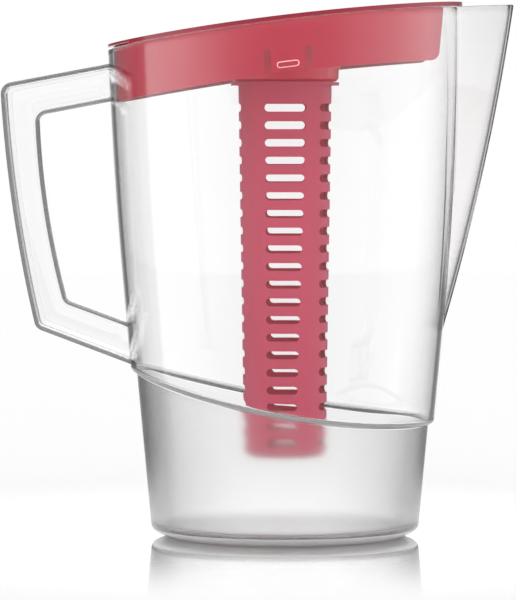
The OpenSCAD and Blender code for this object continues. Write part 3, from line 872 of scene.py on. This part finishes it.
def floorGloss(name, look):
    material, tree, output = emptyMaterial(name)
    place = addNode(tree, "ShaderNodeTexCoord")
    flat = addNode(tree, "ShaderNodeVectorMath", {1: (1.0, 1.0, 0.0)}, {0: place.outputs["Object"]},
                   {"operation": "MULTIPLY"})
    away = addNode(tree, "ShaderNodeVectorMath", None, {0: flat.outputs[0]}, {"operation": "LENGTH"})
    share = addNode(tree, "ShaderNodeMapRange",
                    {"From Min": look["mirrorNear"], "From Max": look["mirrorFar"],
                     "To Min": look["mirrorShare"], "To Max": 0.0},
                    {"Value": away.outputs["Value"]}, {"interpolation_type": "SMOOTHSTEP"})
    beyond = addNode(tree, "ShaderNodeMapRange",
                     {"From Min": look["tableNear"], "From Max": look["tableFar"]},
                     {"Value": away.outputs["Value"]}, {"interpolation_type": "SMOOTHSTEP"})
    colour = addNode(tree, "ShaderNodeMix",
                     {"A": hexColour(look["colour"]), "B": hexColour(look["farColour"])},
                     {"Factor": beyond.outputs["Result"]}, {"data_type": "RGBA"})
    matte = addNode(tree, "ShaderNodeBsdfDiffuse", None, {"Color": colour.outputs["Result"]})
    mirror = addNode(tree, "ShaderNodeBsdfGlossy", {"Color": white, "Roughness": look["roughness"]})
    both = addNode(tree, "ShaderNodeMixShader", None,
                   {0: share.outputs["Result"], 1: matte.outputs["BSDF"], 2: mirror.outputs["BSDF"]})
    # The studio's table is small: what the plastic mirrors far out is the dark room
    path = addNode(tree, "ShaderNodeLightPath")
    mirrored = addNode(tree, "ShaderNodeMath", {1: anyBounce}, {0: path.outputs["Glossy Depth"]},
                       {"operation": "GREATER_THAN"})
    gone = addNode(tree, "ShaderNodeMath", None, {0: mirrored.outputs[0], 1: beyond.outputs["Result"]},
                   {"operation": "MULTIPLY"})
    clear = addNode(tree, "ShaderNodeBsdfTransparent")
    surface = addNode(tree, "ShaderNodeMixShader", None,
                      {0: gone.outputs[0], 1: both.outputs["Shader"], 2: clear.outputs["BSDF"]})
    tree.links.new(surface.outputs["Shader"], output.inputs["Surface"])
    return material


def floorPlane(name, material, half):
    mesh = bpy.data.meshes.new(name)
    corners = [(-half, -half, 0), (half, -half, 0), (half, half, 0), (-half, half, 0)]
    mesh.from_pydata(corners, [], [(0, 1, 2, 3)])
    mesh.materials.append(material)
    plane = bpy.data.objects.new(name, mesh)
    plane.location = (axisX * mm, 0, 0)
    scene.collection.objects.link(plane)
    return plane


floor = floorPlane("Floor", floorGloss("GlossyWhiteFloor", floorLook), floorLook["halfSize"])
print("floor: done")


# The studio

# White for the camera, brighter where it is seen through plastic or lights matte surfaces, and with soft
# lights between dark gaps where the plastic mirrors it. The values with From and To are heights of a ray's
# direction. A stop is an angle round the jug, with 0 towards the camera, and the brightness there
studio = dict(seen=1.0, through=1.04, diffuse=1.3, peak=2.0, low=0.25, lowFrom=-0.45, lowTo=-0.2,
              high=1.4, highFrom=0.04, highTo=0.2, evenFrom=0.02, evenTo=0.08,
              stops=[(-180, 1.0), (-168, 1.0), (-166, 0.3), (-156, 0.16), (-148, 0.1), (-136, 0.2),
                     (-114, 0.3), (-105, 0.5), (-103, 1.5), (-93, 1.6), (-72, 1.55), (-52, 1.15),
                     (-35, 0.75), (-18, 0.58), (0, 0.54), (18, 0.58), (32, 0.65), (49, 0.93), (68, 1.15),
                     (89, 1.45), (106, 1.45), (120, 1.0), (136, 0.55), (148, 0.25), (156, 0.2),
                     (166, 0.3), (168, 1.0), (180, 1.0)])


def roomRound(tree, way):
    # The brightness round the jug, as a share of the peak
    front = addNode(tree, "ShaderNodeMath", {1: -1.0}, {0: way.outputs["Y"]}, {"operation": "MULTIPLY"})
    turn = addNode(tree, "ShaderNodeMath", None, {0: way.outputs["X"], 1: front.outputs[0]},
                   {"operation": "ARCTAN2"})
    around = addNode(tree, "ShaderNodeMapRange", {"From Min": -math.pi, "From Max": math.pi},
                     {"Value": turn.outputs[0]})
    ramp = addNode(tree, "ShaderNodeValToRGB", None, {"Fac": around.outputs["Result"]})
    elements = ramp.color_ramp.elements
    while len(elements) < len(studio["stops"]):
        elements.new(0.5)
    for element, (angle, level) in zip(elements, studio["stops"]):
        element.position = (angle + 180) / 360
        element.color = (level / studio["peak"],) * 3 + (1.0,)
    return ramp


def mirroredRoom(tree, way):
    low = addNode(tree, "ShaderNodeMapRange",
                  {"From Min": studio["lowFrom"], "From Max": studio["lowTo"],
                   "To Min": studio["low"] * studio["peak"], "To Max": studio["peak"]},
                  {"Value": way.outputs["Z"]})
    high = addNode(tree, "ShaderNodeMapRange",
                   {"From Min": studio["highFrom"], "From Max": studio["highTo"],
                    "To Min": 1.0, "To Max": studio["high"]}, {"Value": way.outputs["Z"]})
    level = addNode(tree, "ShaderNodeMath", None, {0: low.outputs["Result"], 1: high.outputs["Result"]},
                    {"operation": "MULTIPLY"})
    # Above the table's level the room is even, so the table looks alike from all sides
    even = addNode(tree, "ShaderNodeMapRange", {"From Min": studio["evenFrom"], "From Max": studio["evenTo"]},
                   {"Value": way.outputs["Z"]})
    sides = addNode(tree, "ShaderNodeMix", {"B": 1 / studio["peak"]},
                    {"Factor": even.outputs["Result"], "A": roomRound(tree, way).outputs["Color"]},
                    {"data_type": "FLOAT"})
    return addNode(tree, "ShaderNodeMath", None, {0: sides.outputs[0], 1: level.outputs[0]},
                   {"operation": "MULTIPLY"})


def lightStudio(name):
    world = bpy.data.worlds.new(name)
    scene.world = world
    world.use_nodes = True
    world.cycles.sampling_method = "NONE"  # an even room needs no search for its bright parts
    tree = world.node_tree
    tree.nodes.clear()
    output = addNode(tree, "ShaderNodeOutputWorld")
    place = addNode(tree, "ShaderNodeTexCoord")
    way = addNode(tree, "ShaderNodeSeparateXYZ", None, {0: place.outputs["Generated"]})
    path = addNode(tree, "ShaderNodeLightPath")
    straight = addNode(tree, "ShaderNodeMath", {1: anyBounce}, {0: path.outputs["Glossy Depth"]},
                       {"operation": "LESS_THAN"})
    scattered = addNode(tree, "ShaderNodeMath", {1: anyBounce}, {0: path.outputs["Diffuse Depth"]},
                        {"operation": "GREATER_THAN"})
    strength = mirroredRoom(tree, way)
    for chosen, value in ((straight.outputs[0], studio["through"]), (scattered.outputs[0], studio["diffuse"]),
                          (path.outputs["Is Camera Ray"], studio["seen"])):
        strength = addNode(tree, "ShaderNodeMix", {"B": value}, {"Factor": chosen, "A": strength.outputs[0]},
                           {"data_type": "FLOAT"})
    room = addNode(tree, "ShaderNodeBackground", {"Color": white}, {"Strength": strength.outputs[0]})
    tree.links.new(room.outputs["Background"], output.inputs["Surface"])


lightStudio("Studio")
print("studio: done")


# The camera and the limits of the light's path

cameraLook = dict(lens=249.0, sensor=36.0,  # in mm
                  sight=50.0, place=(0.0, -1.764, 0.1768), aim=(0.0, 0.0, 0.1003))  # in metres
bounces = dict(all=24, clear=24, mirrored=8)  # light crosses many clear walls before it reaches the camera

cameraData = bpy.data.cameras.new("Camera")
camera = bpy.data.objects.new("Camera", cameraData)
scene.collection.objects.link(camera)
cameraData.lens = cameraLook["lens"]
cameraData.sensor_width = cameraLook["sensor"]
cameraData.clip_end = cameraLook["sight"]
camera.location = cameraLook["place"]
camera.rotation_euler = (Vector(cameraLook["aim"]) - camera.location).to_track_quat("-Z", "Y").to_euler()
scene.camera = camera
scene.view_settings.view_transform = "Standard"
scene.cycles.max_bounces = bounces["all"]
scene.cycles.transmission_bounces = bounces["clear"]
scene.cycles.glossy_bounces = bounces["mirrored"]
print("camera: done")
